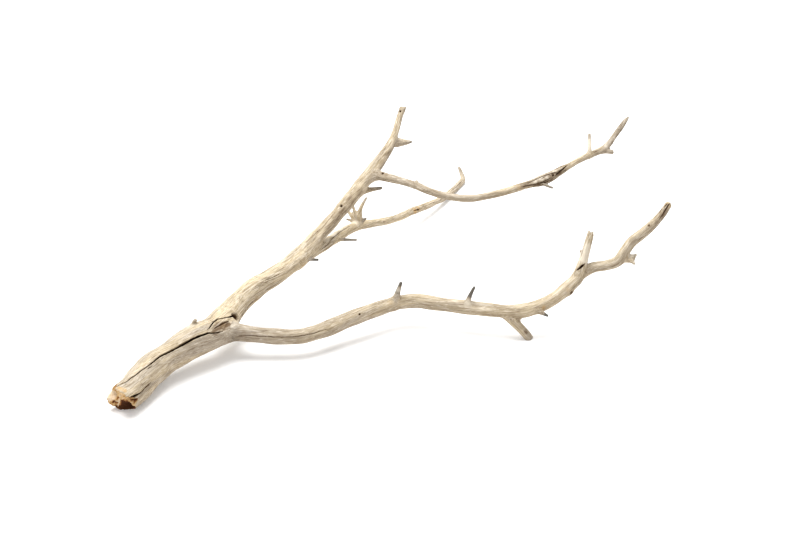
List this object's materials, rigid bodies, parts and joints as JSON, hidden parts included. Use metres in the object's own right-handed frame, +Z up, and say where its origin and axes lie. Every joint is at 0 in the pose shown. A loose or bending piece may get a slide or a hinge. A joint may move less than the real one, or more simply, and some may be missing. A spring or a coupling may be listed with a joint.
{
  "type": "piece of driftwood",
  "caption": "Bleached, forked driftwood branch with a broken butt, long cracks, slender twigs and short thorns, lying on a surface.",
  "frame": {"origin": "under the middle of the piece's box, on the surface that it lies on", "axes": "+Z up, +X along the piece's length from the broken butt to the tips of its limbs, +Y towards the back branch"},
  "size_m": [0.6512, 0.5837, 0.1817],
  "materials": {
    "wood": "dry, bleached and weathered, matte, with fine grain, long cracks and grey thorn tips; the break at the butt is dark brown"
  },
  "bodies": {
    "root": {"driftwood": "wood"}
  },
  "joints": []
}
